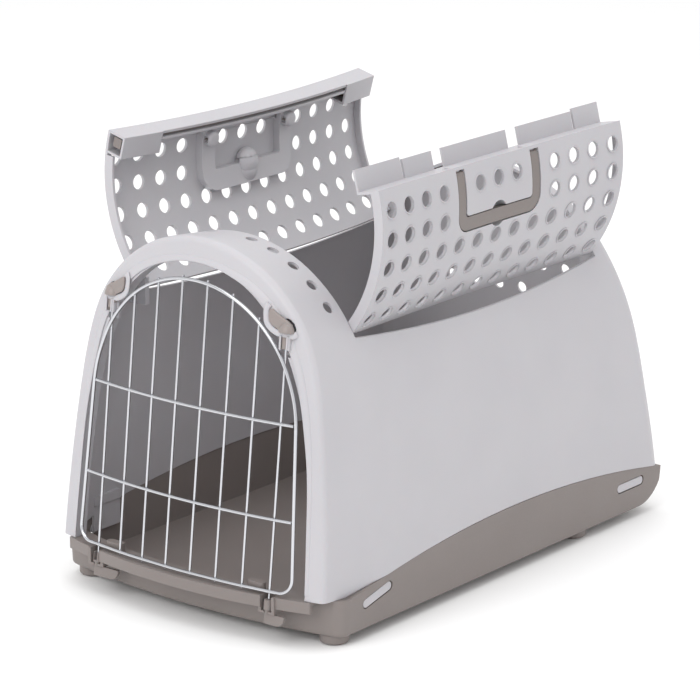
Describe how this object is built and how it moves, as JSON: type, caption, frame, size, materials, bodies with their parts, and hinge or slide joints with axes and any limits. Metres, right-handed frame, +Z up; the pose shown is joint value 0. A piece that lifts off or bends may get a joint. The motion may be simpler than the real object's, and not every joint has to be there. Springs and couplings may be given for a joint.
{
  "type": "pet carrier",
  "caption": "Travel carrier for a small pet: tray base, vaulted shell, wire front door and two perforated roof lids that fold outwards, each with a fold-down handle.",
  "frame": {"origin": "on the ground under the middle of the whole part, with both lids folded open", "axes": "+X to the right seen from the door, +Y from the door to the rear, +Z up"},
  "size_m": [0.3098, 0.5079, 0.3866],
  "materials": {
    "shell_plastic": "satin",
    "tray_plastic": "satin",
    "handle_plastic": "satin",
    "latch_plastic": "satin",
    "door_wire": "bright"
  },
  "bodies": {
    "carrier": {"base_tray": "tray_plastic", "foot_front_left": "tray_plastic", "foot_front_right": "tray_plastic", "foot_rear_left": "tray_plastic", "foot_rear_right": "tray_plastic", "upper_shell": "shell_plastic"},
    "left_lid": {"left_lid": "shell_plastic", "left_lid_rail": "shell_plastic", "left_lid_cover_front": "shell_plastic", "left_lid_cover_rear": "shell_plastic"},
    "lock_bar": {"lock_bar": "handle_plastic"},
    "left_handle": {"left_handle": "handle_plastic"},
    "right_lid": {"right_lid": "shell_plastic"},
    "right_handle": {"right_handle": "handle_plastic"},
    "door": {"door_frame_wire": "door_wire", "door_lower_crossbar": "door_wire", "door_upper_crossbar": "door_wire", "door_upright_1": "door_wire", "door_upright_2": "door_wire", "door_upright_3": "door_wire", "door_upright_4": "door_wire", "door_upright_5": "door_wire", "door_upright_6": "door_wire", "door_upright_7": "door_wire", "door_upright_8": "door_wire"},
    "upper_latch_left": {"upper_latch_left": "latch_plastic"},
    "upper_latch_right": {"upper_latch_right": "latch_plastic"},
    "lower_latch_left": {"lower_latch_left": "latch_plastic"},
    "lower_latch_right": {"lower_latch_right": "latch_plastic"}
  },
  "joints": [
    {"name": "right_lid_hinge", "type": "hinge", "parent": "carrier", "child": "right_lid", "pos_m": [0.115, 0.0115, 0.25096], "axis": [0, -1, 0], "range_deg": [0, 72]},
    {"name": "left_lid_hinge", "type": "hinge", "parent": "carrier", "child": "left_lid", "pos_m": [-0.115, 0.0115, 0.25096], "axis": [0, 1, 0], "range_deg": [0, 75]},
    {"name": "lock_bar_slide", "type": "slide", "parent": "left_lid", "child": "lock_bar", "axis": [0, 1, 0], "range_m": [0, 0.006]},
    {"name": "right_handle_swing", "type": "hinge", "parent": "right_lid", "child": "right_handle", "pos_m": [0.13384, 0.012, 0.36269], "axis": [0, -1, 0], "range_deg": [0, 92]},
    {"name": "left_handle_swing", "type": "hinge", "parent": "left_lid", "child": "left_handle", "pos_m": [-0.13953, 0.008, 0.36151], "axis": [0, 1, 0], "range_deg": [0, 92]},
    {"name": "door_hinge", "type": "hinge", "parent": "carrier", "child": "door", "pos_m": [0.0945, -0.22855, 0.14], "axis": [0, 0.112, 0.9937], "range_deg": [0, 95]},
    {"name": "upper_latch_left_turn", "type": "hinge", "parent": "carrier", "child": "upper_latch_left", "pos_m": [-0.0945, -0.21615, 0.25], "axis": [0, -0.112, -0.9937], "range_deg": [0, 90]},
    {"name": "upper_latch_right_turn", "type": "hinge", "parent": "carrier", "child": "upper_latch_right", "pos_m": [0.0945, -0.21615, 0.25], "axis": [0, 0.112, 0.9937], "range_deg": [0, 90]},
    {"name": "lower_latch_left_turn", "type": "hinge", "parent": "carrier", "child": "lower_latch_left", "pos_m": [-0.0945, -0.24072, 0.032], "axis": [0, -0.112, -0.9937], "range_deg": [0, 90]},
    {"name": "lower_latch_right_turn", "type": "hinge", "parent": "carrier", "child": "lower_latch_right", "pos_m": [0.0945, -0.24072, 0.032], "axis": [0, -0.112, -0.9937], "range_deg": [0, 90]}
  ]
}
